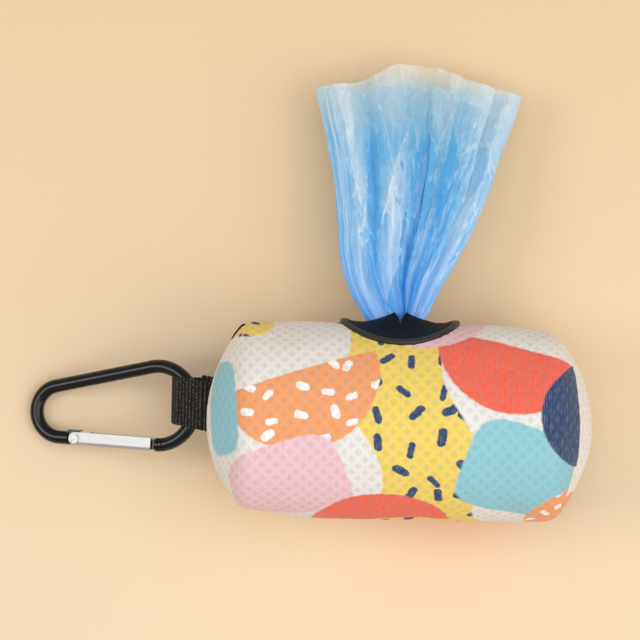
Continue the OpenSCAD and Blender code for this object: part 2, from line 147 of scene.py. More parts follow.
def new_finish(name, colour, **numbers):
    """A material with its plain values set on the shader's own sockets, and its add function."""
    material = bpy.data.materials.new(name)
    material.use_nodes = True
    tree = material.node_tree
    shader = tree.nodes["Principled BSDF"]
    shader.inputs["Base Color"].default_value = linear(colour)
    for socket, value in numbers.items():
        shader.inputs[socket.replace("_", " ").title().replace("Ior", "IOR")].default_value = value

    def add(kind, *values, out=None, stops=None, **named):
        """Adds a node, such as "Math SINE", and returns its first output or the named one. Values
        and sockets go to the inputs that the node shows, in order, and those with a capital name
        to that input. Other names are settings, and stops are a ramp's colours."""
        kind, _, operation = kind.partition(" ")
        made = tree.nodes.new("ShaderNode" + kind)
        if operation:
            made.operation = operation
        for key, value in named.items():
            if key.islower():
                setattr(made, key, value)
        pairs = list(zip([socket for socket in made.inputs if socket.enabled], values))
        pairs += [(made.inputs[key], value) for key, value in named.items() if not key.islower()]
        for socket, value in pairs:
            if isinstance(value, bpy.types.NodeSocket):
                tree.links.new(value, socket)
            else:
                socket.default_value = value
        if stops:
            fill_ramp(made.color_ramp, stops)
        return made.outputs[out] if out else [socket for socket in made.outputs if socket.enabled][0]

    return material, add


def connect(material, **sockets):
    """Links the last nodes of a pattern to the shader."""
    shader = material.node_tree.nodes["Principled BSDF"]
    for socket, source in sockets.items():
        material.node_tree.links.new(source, shader.inputs[socket.replace("_", " ").title()])
    return material


def grained(name, tones, grain, detail, rough=None, bump=None, **numbers):
    """A finish that a fine noise varies in tone, roughness and height. grain is how many grains a
    metre has along each axis, and bump is the strength and the depth in mm."""
    material, add = new_finish(name, tones[0], **numbers)
    place_on = add("Mapping", add("TexCoord", out="Object"), Scale=grain)
    speckle = add("TexNoise", place_on, Scale=1.0, Detail=detail)
    if len(tones) > 1:
        connect(material, base_color=add("Mix", speckle, *map(linear, tones), data_type="RGBA"))
    if rough:
        connect(material, roughness=add("MapRange", speckle, 0.3, 0.7, *rough))
    if bump:
        height, depth = bump
        connect(material, normal=add("Bump", Height=speckle, Strength=height, Distance=depth * MM))
    return material


print("helpers ready")

# %% [markdown]
# The backdrop in the photograph is a sheet of pale peach paper. Its faint shadows fall to the left,
# so the two big soft lamps stand overhead and on the right. The smaller lamp on the left is where
# the sloping rod and gate mirror it up to the camera. A plain grey world gives the rest.

# %% Backdrop and light
paper, add = new_finish("peach_paper", "#F6D8B1", roughness=0.9, specular_ior_level=0.2)
on_paper = add("TexCoord", out="Object")
grain = add("TexNoise", on_paper, Scale=900.0, Detail=4.0)
# Painted light falloff: the paper is painted darker towards +Y and lighter towards -Y, with a fine
# grain over that.
away = add("SeparateXYZ", on_paper, out="Y")
painted_falloff = add("MapRange", away, -0.06, 0.12, 1.0, 0.0)
painted_falloff = add("Math MULTIPLY_ADD", grain, 0.12, painted_falloff)
connect(paper, base_color=add("ValToRGB", painted_falloff, stops={0: "#F1D1A9", 1: "#F9DEBC"}))

sheet = bmesh.new()
bmesh.ops.create_grid(sheet, x_segments=8, y_segments=8, size=3)
floor_mesh = bpy.data.meshes.new("floor")
sheet.to_mesh(floor_mesh)
floor = bpy.data.objects.new("floor", floor_mesh)
floor.data.materials.append(paper)
scene.collection.objects.link(floor)
FLOOR_GAP = 0.0002       # under the case, so that the two never share a plane
floor.location.z = -FLOOR_GAP


def soft_lamp(name, power, size, where, colour):
    """A square lamp that faces the middle of the case."""
    lamp = bpy.data.objects.new(name, bpy.data.lights.new(name, "AREA"))
    lamp.data.energy, lamp.data.size, lamp.data.color = power, size, linear(colour)[:3]
    lamp.location = where
    lamp.rotation_euler = (-Vector(where)).to_track_quat("-Z", "Y").to_euler()
    scene.collection.objects.link(lamp)


soft_lamp("softbox", 7.8, 1.3, (0.2, 0.0, 1.3), "#FFFFFF")
soft_lamp("side", 3.6, 0.58, (-0.95, 0.06, 1.0), "#FFFFFF")
soft_lamp("fill", 6.2, 1.3, (1.0, -0.3, 0.95), "#FFF8F0")
world = bpy.data.worlds.new("studio")
scene.world = world
world.use_nodes = True
sky = world.node_tree.nodes["Background"]
sky.inputs["Color"].default_value, sky.inputs["Strength"].default_value = (0.37, 0.366, 0.36, 1), 1.0
scene.view_settings.view_transform = "Standard"

# %% [markdown]
# Every new piece ends the same way: its mesh is turned to metres and lifted from the case's axis,
# its normals are made to point outwards, it is told which body carries it, the CAD solids it stands
# for are hidden, and it gets its finish.

# %% Finishing a piece
def finish_piece(name, bm, body, material, replaces=(), lift=True, outward=True):
    """Makes the object from a bmesh in millimetres. lift: it is drawn about the case's axis."""
    if outward:
        bmesh.ops.recalc_face_normals(bm, faces=bm.faces)
    if lift:
        bmesh.ops.translate(bm, vec=(0, 0, AXIS_Z), verts=bm.verts)
    bmesh.ops.scale(bm, vec=(MM, MM, MM), verts=bm.verts)
    for face in bm.faces:
        face.smooth = True
    mesh = bpy.data.meshes.new(name)
    bm.to_mesh(mesh)
    bm.free()
    piece = bpy.data.objects.new(name, mesh)
    scene.collection.objects.link(piece)
    piece.data.materials.append(material)
    if body:
        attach(piece, body)
    if replaces:
        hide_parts(*replaces)
    print(name, len(mesh.polygons), "faces")
    return piece


def laid_grid(columns, rows, place_of, attribute=None, closed=None):
    """A grid whose points go where place_of(u, v) says, for u and v from 0 to 1. It says two things:
    the place, and the point of the flat cloth, which the attribute keeps. closed: the axis along
    which the two ends meet, and how near they come, in mm."""
    bm = bmesh.new()
    bmesh.ops.create_grid(bm, x_segments=columns, y_segments=rows, size=0.5)
    layer = bm.verts.layers.float_vector.new(attribute) if attribute else None
    ends = [vert for vert in bm.verts if closed and abs(vert.co[closed[0]]) > 0.4999]
    for vert in bm.verts:
        vert.co, flat = place_of(vert.co.x + 0.5, vert.co.y + 0.5)
        if layer:
            vert[layer] = flat
    if closed:
        bmesh.ops.remove_doubles(bm, verts=ends, dist=closed[1])
    return bm


def thicken(piece, thickness, offset=-1.0):
    """A Solidify modifier that gives a sheet its thickness, in mm. -1 grows it inwards."""
    wall = piece.modifiers.new("wall", "SOLIDIFY")
    wall.thickness, wall.offset, wall.use_even_offset = thickness * MM, offset, False
    return piece


# %% [markdown]
# ## The fabric case
# The real case is foam-backed air mesh, cut in a front and a rear panel, sewn and turned. A spin
# of its outline gives the round body with domed ends, on a grid fine enough to carry the knit. The
# seam's plane and the zip's edges cut it, and then the faces are shared out between the panels.

# %% The outline and its spin
END_R = 36.0             # radius of the dome
CORNER_R = 5.5           # rounding between the dome and the round wall
PANEL_T = 2.0            # mesh and foam together
DOME_X = CASE_L / 2 - END_R
DOME_TURN = math.asin((CASE_R - CORNER_R) / (END_R - CORNER_R))
CORNER_X = DOME_X + (END_R - CORNER_R) * math.cos(DOME_TURN)


def spaced(start, end, length, spacing):
    """Even steps from start to end, without the last, for a stretch of that length."""
    count = max(1, round(length / spacing))
    return [start + (end - start) * i / count for i in range(count)]


def case_outline(inset, spacing):
    """Points (x, radius) from the right pole over the wall to the left pole."""
    dome, corner = END_R - inset, CORNER_R - inset
    points = [(DOME_X + dome * math.cos(a), dome * math.sin(a))
              for a in spaced(0, DOME_TURN, dome * DOME_TURN, spacing)]
    points += [(CORNER_X + corner * math.cos(a), CASE_R - CORNER_R + corner * math.sin(a))
               for a in spaced(DOME_TURN, math.pi / 2, corner * (math.pi / 2 - DOME_TURN), spacing)]
    points += [(x, CASE_R - inset) for x in spaced(CORNER_X, 0, CORNER_X, spacing)]
    return points + [(0, CASE_R - inset)] + [(-x, r) for x, r in reversed(points)]


def spin(points, axis, steps, closed=False):
    """Spins an outline, as points (x, y, z), round an axis through the middle. closed: the outline
    is a ring."""
    bm = bmesh.new()
    verts = [bm.verts.new(point) for point in points]
    edges = [bm.edges.new(pair) for pair in zip(verts, verts[1:] + (verts[:1] if closed else []))]
    bmesh.ops.spin(bm, geom=verts + edges, axis=axis, cent=(0, 0, 0), dvec=(0, 0, 0),
                   angle=2 * math.pi, steps=steps, use_merge=True)
    bmesh.ops.remove_doubles(bm, verts=bm.verts, dist=1e-3)
    return bm


def revolve(points, steps):
    """Spins points (x, radius) round the X axis. They start in the seam's plane, so an even number
    of steps leaves edges there."""
    bm = spin([(x, r, 0) for x, r in points], (1, 0, 0), steps)
    bmesh.ops.recalc_face_normals(bm, faces=bm.faces)
    return bm


def cut_along(bm, point, normal):
    """Adds edges where a plane crosses the mesh."""
    bmesh.ops.bisect_plane(bm, geom=bm.verts[:] + bm.edges[:] + bm.faces[:], dist=1e-4,
                           plane_co=point, plane_no=normal)


def keep_faces(bm, wanted):
    """Deletes the faces whose centre the test refuses."""
    away = [face for face in bm.faces if not wanted(face.calc_center_median())]
    bmesh.ops.delete(bm, geom=away, context="FACES")
    return bm


print(f"outline has {len(case_outline(0, 0.55))} points")

# %% [markdown]
# The zip's direction comes from the bar that the pull tab turns on, and the mouth's from the rim.
# With those two frames, a point of the case can be told to be in the front panel, in the rear one
# or in the opening that the zip closes.

# %% Zip and mouth frames
ZIP_L, ZIP_W = 74.0, 9.8                 # the opening that the zip closes
MOUTH_TILT = math.radians(4)
bar = place(joint_of["puller_flip"]["pos_m"]) - Vector((0, 0, AXIS_Z))
ZIP_OUT = Vector((0, bar.y, bar.z)).normalized()
ZIP_UP = Vector((0, -ZIP_OUT.z, ZIP_OUT.y))
MOUTH_OUT = Vector((0, math.cos(MOUTH_TILT), math.sin(MOUTH_TILT)))
MOUTH_UP = Vector((0, -math.sin(MOUTH_TILT), math.cos(MOUTH_TILT)))
RIM_R = half_size("mouth_rim").x
FLANGE_IN, SLEEVE_IN, SLEEVE_OUT = RIM_R - 1.7, RIM_R - 2.6, RIM_R - 1.8    # the ring's inner radii


def in_front(c, edge):
    """Over the seam's plane, or in the strip of the front panel between that plane and the zip."""
    return c.z > 0 or abs(c.x) < ZIP_L / 2 and c.y > 0 and c.dot(ZIP_UP) > edge


def in_window(c, half, edge):
    """In the zip's opening, of that half length and half width."""
    return abs(c.x) < half and abs(c.dot(ZIP_UP)) < edge and c.dot(ZIP_OUT) > 0


def mouth_distance(c):
    """How far a point of the wall is from the mouth's middle, along the wall."""
    if c.dot(MOUTH_OUT) < 0:
        return 1000.0
    return math.hypot(c.x, CASE_R * math.atan2(c.dot(MOUTH_UP), c.dot(MOUTH_OUT)))


zip_down = math.degrees(math.atan2(-ZIP_OUT.z, ZIP_OUT.y))
print(f"zip {zip_down:.1f} degrees down, rim {RIM_R:.1f} mm")

# %% [markdown]
# ## The cloth's own coordinates
# A print and a knit follow the cloth, not the world. Each point keeps where it lies on the flat
# cloth, in millimetres: across along the case, and up along its girth. On a dome the cloth is laid
# by its distance from the dome's edge.

# %% Cloth coordinates, knit and softness
KNIT_ACROSS, KNIT_UP = 3.3, 3.6          # one repeat of the staggered holes, in mm
KNIT_DEPTH = 0.13
SEAM_ROLL, SEAM_REACH = 0.9, 1.5         # how far and how wide the cloth rolls into a seam
MOUTH_PUFF = 0.4                         # how far it stands up beside the mouth's ring


def on_cloth(co):
    """Where a point of the case lies on the flat cloth, as (across, up), in mm."""
    radius = math.hypot(co.y, co.z)
    side = 1 if co.x > 0 else -1
    if radius > CASE_R - 1e-3:
        turn = math.atan2(co.y, abs(co.z) if co.z > -1e-6 or co.y < 0 else co.z)
        return co.x, turn * CASE_R
    lifted = math.sqrt(max(0.0, CASE_R ** 2 - co.y ** 2))
    along = math.hypot(lifted - abs(co.z), abs(co.x) - min(abs(co.x), CORNER_X))
    return side * (min(abs(co.x), CORNER_X) + along), math.asin(co.y / CASE_R) * CASE_R


def knit_hole(across, up):
    """0 on the raised net of yarn and 1 in the middle of a hole."""
    a, b = across / KNIT_ACROSS + up / KNIT_UP, across / KNIT_ACROSS - up / KNIT_UP
    net = max(abs(math.sin(math.pi * a)), abs(math.sin(math.pi * b)))
    return max(0.0, 1 - net / 0.92) ** 0.7


def lay_cloth(bm):
    """Stores each point's place on the flat cloth."""
    layer = bm.verts.layers.float_vector.new("cloth")
    for vert in bm.verts:
        vert[layer] = (*on_cloth(vert.co), 0)


def cloth_push(co, gap, roll=SEAM_ROLL):
    """How far the cloth stands out of its round form, at a distance from its edge."""
    dent = 0.45 * noise.noise(co / 13) + 0.16 * noise.noise(co / 5 + Vector((7, 1, 3)))
    return dent * min(1.0, gap / 6) - roll * math.exp(-(gap / SEAM_REACH) ** 2)


def soften(bm):
    """Rolls the cloth into its seams, puffs it up round the mouth's ring, dents it a little, and
    presses the knit into it."""
    layer = bm.verts.layers.float_vector["cloth"]
    border = [vert for vert in bm.verts if vert.is_boundary]
    tree = kdtree.KDTree(len(border))
    for i, vert in enumerate(border):
        tree.insert(vert.co, i)
    tree.balance()
    bm.normal_update()
    moves = []
    for vert in bm.verts:
        edge, _, gap = tree.find(vert.co)
        across, up, _ = vert[layer]
        push = cloth_push(vert.co, gap, -MOUTH_PUFF if mouth_distance(edge) < RIM_R else SEAM_ROLL)
        moves.append(vert.normal * (push - KNIT_DEPTH * knit_hole(across, up) - 0.05))
    for vert, move in zip(bm.verts, moves):
        vert.co += move


# The sewn ends: the lower corner by the strap is drawn up to a point, the other lower corner and the
# dome over it stand out a little, and the upper corner there sinks in. Each pull has its middle, how
# far it moves, both as (along, across), and the size of the stretch.
CORNER_PULLS = [
    ((-CORNER_X - 2.5, -CASE_R + 1.5), (-0.2, 3.1), 7.5),
    ((-CORNER_X - 2.2, -CASE_R + 4.2), (-1.3, -0.3), 2.4),
    ((CORNER_X + 2.5, -CASE_R + 1.5), (1.2, 0.4), 6.0),
    ((CASE_L / 2, -3.0), (0.6, 0.0), 14.0),
    ((CORNER_X + 3.0, CASE_R - 2.5), (-0.7, -1.9), 5.5),
]


def pull_corners(bm):
    for (x, y), (along, across), size in CORNER_PULLS:
        for vert in bm.verts:
            gap = (vert.co - Vector((x, y, 0))).length
            vert.co += Vector((along, across, 0)) * math.exp(-(gap / size) ** 2)


def rest_on_table(bm):
    """Nothing of the case goes below the table."""
    for vert in bm.verts:
        vert.co.z = max(vert.co.z, -AXIS_Z + 0.02)


print("a knit repeat is", KNIT_ACROSS, "by", KNIT_UP, "mm")

# %% [markdown]
# ## The printed mesh
# Polyester air mesh is printed after it is knitted, so the colours lie over the yarn, and in the
# holes the yarn under the print shows. The holes are also painted a little darker and the net a
# little lighter, as painted shade and light. The print here is a plain one of wavy bands, half
# rounds and soft squares with short strokes. Each motif is a mask in the cloth's millimetres, and
# the last one that covers a point colours it.

# %% Printed mesh
CREAM, YELLOW, PINK, CORAL = "#F1EDE8", "#F8DA66", "#F6CAD2", "#F9694F"
ORANGE, AQUA, NAVY, WHITE = "#FAA66B", "#93CFDC", "#2C4470", "#FFFDF8"
HOLE_YARN = "#B4B9C2"
INK_EDGE = 0.25                          # mm from full ink to none
BAND_WAVE, BAND_SWING = (46, 40), (3.0, 2.5)     # a level and an upright band's waves, in mm
# Each motif: form, colour, middle (across, up), half sizes, turn in degrees
FRONT_PRINT = [
    ("band", YELLOW, (3, 0), (12, 60), 12),
    ("half", ORANGE, (-25, 13), (20, 20), 200),
    ("square", PINK, (-27, -17), (15, 12), 20),
    ("half", CORAL, (28, 22), (19, 19), 160),
    ("square", AQUA, (30, -13), (15, 13), -18),
    ("half", NAVY, (47, 3), (13, 13), 95),
    ("half", CORAL, (-4, -33), (17, 14), 8),
    ("square", AQUA, (-47, 3), (7, 12), 8),
    ("half", PINK, (6, 36), (15, 15), 185),
    ("square", YELLOW, (-46, 34), (15, 10), 0),
    ("half", ORANGE, (45, -31), (14, 14), 20),
]
REAR_PRINT = [
    ("band", AQUA, (0, 4), (64, 9), -7),
    ("half", YELLOW, (-25, -22), (20, 20), 20),
    ("square", CORAL, (14, -24), (15, 13), 30),
    ("half", PINK, (36, 12), (19, 19), 140),
    ("square", ORANGE, (-30, 26), (13, 11), -25),
    ("half", NAVY, (46, -22), (11, 11), 80),
    ("half", YELLOW, (8, 34), (14, 14), 200),
    ("square", NAVY, (-50, 4), (8, 9), 15),
]


def motif_mask(add, cloth, form, middle, half, turn):
    """1 inside the motif and 0 outside, from the cloth's coordinates."""
    turned = add("Mapping", cloth, Location=(*middle, 0), Rotation=(0, 0, math.radians(turn)),
                 vector_type="TEXTURE")
    across, up = add("SeparateXYZ", turned).node.outputs[:2]
    if form == "band" and half[1] > half[0]:
        wave = add("Math SINE", add("Math MULTIPLY", up, 2 * math.pi / BAND_WAVE[1]))
        across = add("Math MULTIPLY_ADD", wave, BAND_SWING[1], across)
    elif form == "band":
        wave = add("Math SINE", add("Math MULTIPLY", across, 2 * math.pi / BAND_WAVE[0]))
        up = add("Math MULTIPLY_ADD", wave, BAND_SWING[0], up)
    power = 2.0 if form == "half" else 4.0
    far = []
    for part, size in ((across, half[0]), (up, half[1])):
        share = add("Math ABSOLUTE", add("Math DIVIDE", part, size))
        far.append(add("Math POWER", share, power))
    edge = INK_EDGE / min(half) * power
    inside = add("MapRange", add("Math ADD", *far), 1 + edge, 1 - edge)
    if form == "half":
        inside = add("Math MULTIPLY", inside, add("MapRange", up, -INK_EDGE, INK_EDGE))
    return inside


def strokes_mask(add, cloth, spacing, length, seed):
    """Short strokes with room between them, one to a cell, each turned and moved its own way."""
    cells = add("TexVoronoi", cloth, Scale=1 / spacing, Randomness=0.62, voronoi_dimensions="2D")
    apart = add("VectorMath SUBTRACT", cloth, cells.node.outputs["Position"])
    chance = add("SeparateColor", cells.node.outputs["Color"]).node.outputs
    angle = add("Math MULTIPLY_ADD", chance[0], 2.4, seed)
    turned = add("VectorRotate", apart, Angle=angle, rotation_type="Z_AXIS")
    along, aside = add("SeparateXYZ", turned).node.outputs[:2]
    past = add("Math SUBTRACT", add("Math ABSOLUTE", along), length / 2)
    gap = add("CombineXYZ", add("Math MAXIMUM", past, 0.0), aside)
    wide = add("Math MULTIPLY_ADD", chance[1], 0.35, 0.75)
    near = add("Math SUBTRACT", wide, add("VectorMath LENGTH", gap))
    return add("MapRange", near, -0.15, 0.15)


def printed_mesh(name, motifs):
    """Air mesh with a print: roughness of plain polyester yarn, and holes painted darker than the
    net, as painted shade.
    """
    fabric, add = new_finish(name, CREAM, roughness=0.85, specular_ior_level=0.25, sheen_weight=0.15)
    cloth = add("Attribute", attribute_name="cloth", out="Vector")
    wobble = add("TexNoise", cloth, Scale=0.9, Detail=2.0, out="Color")
    wobble = add("VectorMath SUBTRACT", wobble, (0.5, 0.5, 0.5))
    ragged = add("VectorMath MULTIPLY_ADD", wobble, (0.7, 0.7, 0), cloth)
    strokes = {YELLOW: (strokes_mask(add, ragged, 7.5, 2.6, 0.3), NAVY),
               ORANGE: (strokes_mask(add, ragged, 6.5, 1.6, 2.0), WHITE)}
    colour = linear(CREAM)
    for form, paint, middle, half, turn in motifs:
        ink = linear(paint)
        if paint in strokes:
            on_stroke, stroke_ink = strokes[paint]
            ink = add("Mix", on_stroke, ink, linear(stroke_ink), data_type="RGBA")
        inside = motif_mask(add, ragged, form, middle, half, turn)
        colour = add("Mix", inside, colour, ink, data_type="RGBA")

    parts = add("SeparateXYZ", cloth).node.outputs
    across, up = add("Math DIVIDE", parts[0], KNIT_ACROSS), add("Math DIVIDE", parts[1], KNIT_UP)
    waves = []
    for sign in (1, -1):
        slope = add("Math MULTIPLY", add("Math MULTIPLY_ADD", up, sign, across), math.pi)
        waves.append(add("Math ABSOLUTE", add("Math SINE", slope)))
    inside = add("MapRange", add("Math MAXIMUM", *waves), 0.97, 0.6)
    # The ink lies on the net. In the holes the upright yarns show it less, as broken pale lines
    yarn = add("Math COSINE", add("Math MULTIPLY", across, 6 * math.pi))
    yarn = add("MapRange", add("Math ABSOLUTE", yarn), 0.3, 0.8)
    breaks = add("Mapping", cloth, Scale=(1.3, 0.55, 1))
    breaks = add("TexNoise", breaks, Scale=1.0, Detail=3.0, Roughness=0.6)
    deep = add("Math MULTIPLY_ADD", inside, 0.7, 0.3)
    deep = add("Math MULTIPLY", deep, add("MapRange", breaks, 0.36, 0.6))
    deep = add("Math MULTIPLY", deep, yarn)
    pale = add("Math MULTIPLY", deep, 0.36)
    colour = add("Mix", pale, colour, linear(HOLE_YARN), data_type="RGBA")
    # Painted shade and light: the holes are darkened and the raised net is lightened a little.
    shade = add("Math MULTIPLY_ADD", inside, -0.09, 1.035)
    height = add("Math ADD", inside, deep)
    return connect(fabric, base_color=add("VectorMath MULTIPLY", colour, shade),
                   normal=add("Bump", Height=height, Strength=0.2, Distance=-0.08 * MM))


front_mesh = printed_mesh("printed_mesh_front", FRONT_PRINT)
rear_mesh = printed_mesh("printed_mesh_rear", REAR_PRINT)
print("print nodes:", len(front_mesh.node_tree.nodes), len(rear_mesh.node_tree.nodes))

# %% The two panels
CLOTH_GRID = 0.58        # mm between points, so a knit repeat has six


def half_case(inset, grid, half, edge, front, hole):
    """The front or the rear of the case's wall. The zip's opening is cut from it, with half its
    length and half its width, and a round hole for the mouth."""
    bm = revolve(case_outline(inset, grid), 2 * round(math.pi * CASE_R / grid))
    for side in (-1, 1):
        cut_along(bm, (side * half, 0, 0), (1, 0, 0))
        cut_along(bm, ZIP_UP * side * edge, ZIP_UP)
    lay_cloth(bm)
    keep_faces(bm, lambda c: in_front(c, edge) == front and not in_window(c, half, edge)
               and mouth_distance(c) > hole)
    pull_corners(bm)
    return bm


for name, front, material, node in (("front_cloth", True, front_mesh, "front_panel"),
                                    ("rear_cloth", False, rear_mesh, "rear_panel")):
    cloth = half_case(0, CLOTH_GRID, ZIP_L / 2, ZIP_W / 2, front, SLEEVE_OUT + 0.15)
    soften(cloth)
    rest_on_table(cloth)
    piece = finish_piece(name, cloth, "case", material, [node], outward=False)
    thicken(piece, PANEL_T)

# %% [markdown]
# ## The rubber mouth
# A moulded ring is clamped on the wall, and a thin sheet with crossed cuts fills it. Both are spun
# flat and then bent on to the round wall, as the real ones bend when the panel is curved.

# %% Rim
def on_wall(bm):
    """Bends what is drawn as (along, up, height over the wall) on to the wall at the mouth."""
    for vert in bm.verts:
        along, up, height = vert.co
        turn = up / CASE_R
        vert.co = Vector((along, 0, 0))
        vert.co += (MOUTH_OUT * math.cos(turn) + MOUTH_UP * math.sin(turn)) * (CASE_R + height)


def face_towards(bm, way):
    """Turns an open sheet's faces so that most look along a direction."""
    bmesh.ops.recalc_face_normals(bm, faces=bm.faces)
    if sum(face.normal.dot(way) * face.calc_area() for face in bm.faces) < 0:
        bmesh.ops.reverse_faces(bm, faces=bm.faces)
    return bm


def round_edges(bm, size):
    """Bevels the edges that turn by more than 30 degrees."""
    sharp = [edge for edge in bm.edges
             if len(edge.link_faces) == 2 and edge.calc_face_angle() > math.radians(30)]
    bmesh.ops.bevel(bm, geom=sharp, offset=size, offset_type="OFFSET", segments=2,
                    profile=0.5, affect="EDGES", clamp_overlap=True, material=-1)


rubber = grained("moulded_rubber_rim", ["#252221"], [2500] * 3, 3, rough=(0.34, 0.52),
                 bump=(0.15, 0.03), specular_ior_level=0.5)
rim = spin([(r, 0, h) for r, h in (
    (RIM_R, -0.25), (RIM_R - 0.1, 0.75), (RIM_R - 0.35, 1.0), (FLANGE_IN + 0.35, 1.0),
    (FLANGE_IN + 0.08, 0.75), (FLANGE_IN, 0.0), (SLEEVE_IN, 0.0), (SLEEVE_IN, -2.8),
    (SLEEVE_OUT, -2.8), (SLEEVE_OUT, -0.25))], (0, 0, 1), 160, closed=True)
bmesh.ops.recalc_face_normals(rim, faces=rim.faces)
round_edges(rim, 0.12)
on_wall(rim)
finish_piece("rim_ring", rim, "case", rubber, ["mouth_rim"])

# %% [markdown]
# The sheet's cuts cross at the middle. The bag has drawn the four lips out to a low cone, it holds
# the level cut open like an eyelid, and it spreads the upright cut to a V that shows from above.

# %% Lips
LIP_R, LIP_H, LIP_T = 8.8, 2.6, 0.9  # where the cone starts, how far it stands out, the sheet
UPRIGHT_CUT, LEVEL_CUT = 6.4, 8.6    # half lengths of the two cuts
UPRIGHT_GAP, LEVEL_GAP = 1.5, 0.95   # half widths at the middle
SPOKES, RING_STEP = 160, 0.24        # the sheet's grid

lip_rubber = grained("moulded_rubber_lips", ["#08101B"], [3000] * 3, 2, rough=(0.55, 0.72),
                     bump=(0.2, 0.02), specular_ior_level=0.18)


def lip_height(r):
    """The cone of the lips on the sheet, which rises a little where the ring holds it."""
    share, edge = max(0.0, 1 - r / LIP_R), max(0.0, (r - 10) / (FLANGE_IN - 10))
    return 0.3 + LIP_H * share ** 1.15 + 0.35 * edge * edge


rings = [RING_STEP * i for i in range(int((FLANGE_IN + 0.1) / RING_STEP))]
lips = spin([(r, 0, lip_height(r)) for r in rings], (0, 0, 1), SPOKES)
cut = [edge for edge in lips.edges
       if all(abs(v.co.y) < 1e-4 and abs(v.co.x) < LEVEL_CUT for v in edge.verts)
       or all(abs(v.co.x) < 1e-4 and abs(v.co.y) < UPRIGHT_CUT for v in edge.verts)]
bmesh.ops.split_edges(lips, edges=cut)
side_of = {}
for vert in lips.verts:
    middle = sum((face.calc_center_median() for face in vert.link_faces), Vector())
    side_of[vert] = (1 if middle.x > 0 else -1, 1 if middle.y > 0 else -1)
for vert, (right, top) in side_of.items():
    x, y, _ = vert.co
    spread = UPRIGHT_GAP * max(0.0, 1 - abs(y) / UPRIGHT_CUT) ** 1.7
    lift = LEVEL_GAP * math.sqrt(max(0.0, 1 - (x / LEVEL_CUT) ** 2))
    vert.co.x += right * spread * math.exp(-abs(x) / 3)
    vert.co.y += top * lift * math.exp(-abs(y) / 2.5)
on_wall(lips)
face_towards(lips, MOUTH_OUT)
thicken(finish_piece("lips", lips, "case", lip_rubber, ["mouth_membrane"],
                     outward=False), LIP_T)

# %% [markdown]
# ## The pulled bag
# Film on a roll is folded along its length, so what comes out of the mouth is a stack of layers
# that all start at the mouth and fan out. It is made as one closed strip that runs left and right
# through the layers. Where more layers lie over each other the blue is deeper, and single layers
# are nearly clear, so the colour comes from the folds themselves.

# %% Film shape
PULL = Vector(joint_of["bag_pull"]["axis"])
FILM_UP = Vector((0, -PULL.z, PULL.y))
EXIT = MOUTH_OUT * (CASE_R + 0.5)
FILM_GRID = 0.6
# Distance out of the mouth, left edge and right edge of the film, in mm
FILM_EDGES = [(-38, -1.1, 1.1), (-14, -1.3, 1.3), (-3, -6.5, 4.6), (0, -8.2, 6.0), (4, -10.8, 7.9),
              (9, -13.2, 10.2), (17, -15.3, 14.6), (24, -15.8, 18.0), (43, -18.3, 24.8),
              (58, -21.8, 29.8), (67, -23.6, 32.6)]
# The end of the longest layer over the film's width, as share and distance
FILM_TOP = [(0, 58.9), (0.10, 60.6), (0.20, 61.4), (0.40, 65.9), (0.50, 66.2), (0.75, 62.2),
            (1, 58.4)]
# Each turn of the strip: share of the width, level in the stack, and how much shorter it ends
FILM_TURNS = [(0.0, 0.5, 0.0), (1.0, 0.5, 0.2), (0.27, 1.5, 8.5), (0.86, 2.5, 7.0), (0.13, 3.5, 1.5),
              (0.57, 4.5, 9.0), (0.0, 0.6, 0.0)]
# Folds that run from the mouth to the open end: share of the width and height, in mm
FILM_FOLDS = [(0, 0.3), (0.06, -0.5), (0.14, 0.9), (0.235, -0.9), (0.27, 0.4), (0.36, 1.0),
              (0.43, -0.3), (0.47, 0.6), (0.535, -1.2), (0.57, 0.5), (0.62, -0.2), (0.67, 0.8),
              (0.705, -0.9), (0.80, 0.3), (0.86, -0.6), (0.93, 0.6), (1, -0.2)]
FILM_WIDE, FILM_LONG = 50.0, 66.0   # of the spread strip, and from the mouth to the open end
FILM_START = FILM_EDGES[0][0]
NOTCH = 0.59                        # share of the width that runs to the V between the lips


def curve_through(points, column, samples=400):
    """A smooth curve through a list of points, by cubic pieces with matched slopes, as a table that
    np.interp reads."""
    x, y = np.array([p[0] for p in points], float), np.array([p[column] for p in points], float)
    slope, at = np.gradient(y, x), np.linspace(x[0], x[-1], samples)
    i = np.clip(np.searchsorted(x, at) - 1, 0, len(x) - 2)
    step = x[i + 1] - x[i]
    u = (at - x[i]) / step
    return at, ((2 * u ** 3 - 3 * u ** 2 + 1) * y[i] + (u ** 3 - 2 * u ** 2 + u) * step * slope[i]
                + (3 * u ** 2 - 2 * u ** 3) * y[i + 1] + (u ** 3 - u ** 2) * step * slope[i + 1])


LEFT_EDGE, RIGHT_EDGE = curve_through(FILM_EDGES, 1), curve_through(FILM_EDGES, 2)
TOP_EDGE = curve_through(FILM_TOP, 1)
FOLD_LINES = np.array(FILM_FOLDS).T
FILM_RUNS = [abs(b[0] - a[0]) * FILM_WIDE for a, b in zip(FILM_TURNS, FILM_TURNS[1:])]


def strip_point(distance):
    """Share of the width, level and shortening at a distance along the folded strip."""
    for k, run in enumerate(FILM_RUNS):
        if distance <= run or k == len(FILM_RUNS) - 1:
            break
        distance -= run
    a, b = FILM_TURNS[k], FILM_TURNS[k + 1]
    u = min(1.0, distance / run)
    level = float(k)
    for turn, gap in ((a, distance), (b, run - distance)):
        reach = 6.0 if k == len(FILM_RUNS) - 1 and turn is b else 1.4
        near = max(0.0, 1 - gap / reach)
        level += (turn[1] - k) * near * near
    return a[0] + (b[0] - a[0]) * u, level, a[2] + (b[2] - a[2]) * u


def gathered(share):
    """The shares at the mouth: the middle of the film is drawn together at the V."""
    wave = lambda s: s - 0.93 * math.sin(2 * math.pi * (s - NOTCH)) / (2 * math.pi)
    return wave(share) - wave(0)


